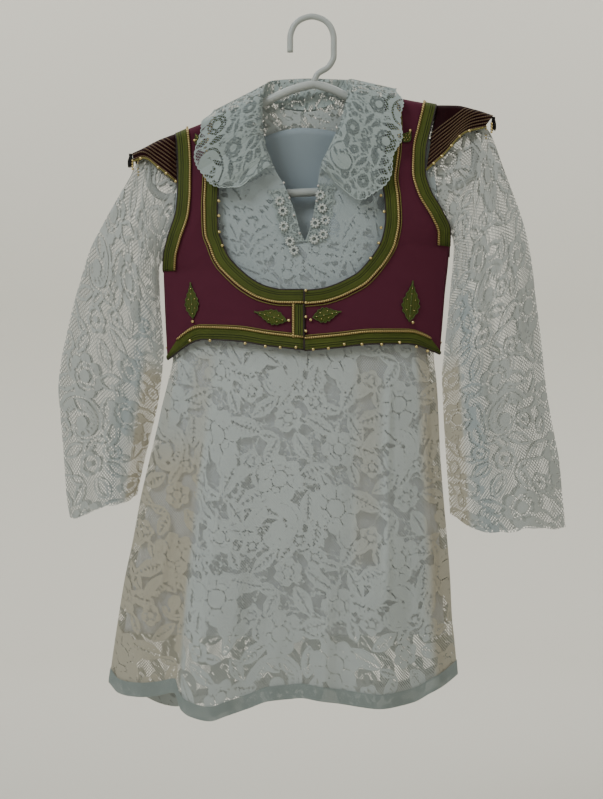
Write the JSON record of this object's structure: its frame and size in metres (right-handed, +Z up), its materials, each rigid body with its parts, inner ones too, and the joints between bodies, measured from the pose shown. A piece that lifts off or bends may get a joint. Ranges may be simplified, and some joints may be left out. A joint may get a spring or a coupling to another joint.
{
  "type": "child's folk costume of a lace dress and a waistcoat, on a hanger",
  "caption": "Child's folk costume on a hanger: white lace dress with wide sleeves and a folded lace collar, under a short dark waistcoat with ribbon edges and pointed wings.",
  "frame": {"origin": "inside top of the hanger's hook, where it hangs on a rod", "axes": "+X to the viewer's right, +Z up, the front faces -Y"},
  "size_m": [0.5582, 0.102, 0.7689],
  "materials": {
    "lace": "white machine lace, matt, see-through between its flowers",
    "lining": "plain weave, matt",
    "satin": "satin with a soft sheen",
    "ribbon": "woven ribbon with a slight sheen",
    "braid": "dark satin with rows of pale braid",
    "thread": "matt thread",
    "gold_cord": "twisted metallic cord",
    "gold_bead": "polished",
    "pearl": "pearly gloss",
    "plastic": "moulded, slight gloss"
  },
  "bodies": {
    "root": {"armhole_ribbon_left": "ribbon", "armhole_ribbon_left_back": "ribbon", "armhole_ribbon_right": "ribbon", "armhole_ribbon_right_back": "ribbon", "collar": "lace", "dress_back": "lace", "dress_front": "lace", "front_ribbon": "ribbon", "hanger": "plastic", "hem_band_back": "lace", "hem_band_front": "lace", "hem_ribbon_back": "ribbon", "hem_ribbon_left": "ribbon", "hem_ribbon_right": "ribbon", "leaf_left_centre": "ribbon", "leaf_left_collar": "ribbon", "leaf_left_side": "ribbon", "leaf_right_centre": "ribbon", "leaf_right_collar": "ribbon", "leaf_right_side": "ribbon", "lining_back": "lining", "lining_front": "lining", "neck_ribbon_back": "ribbon", "neck_ribbon_left": "ribbon", "neck_ribbon_right": "ribbon", "sleeve_left_back": "lace", "sleeve_left_front": "lace", "sleeve_right_back": "lace", "sleeve_right_front": "lace", "slit_trim_left": "lace", "slit_trim_right": "lace", "tassel_left": "thread", "tassel_right": "thread", "vest_back": "satin", "vest_front_left": "satin", "vest_front_right": "satin", "wing_left": "braid", "wing_right": "braid"}
  },
  "joints": []
}
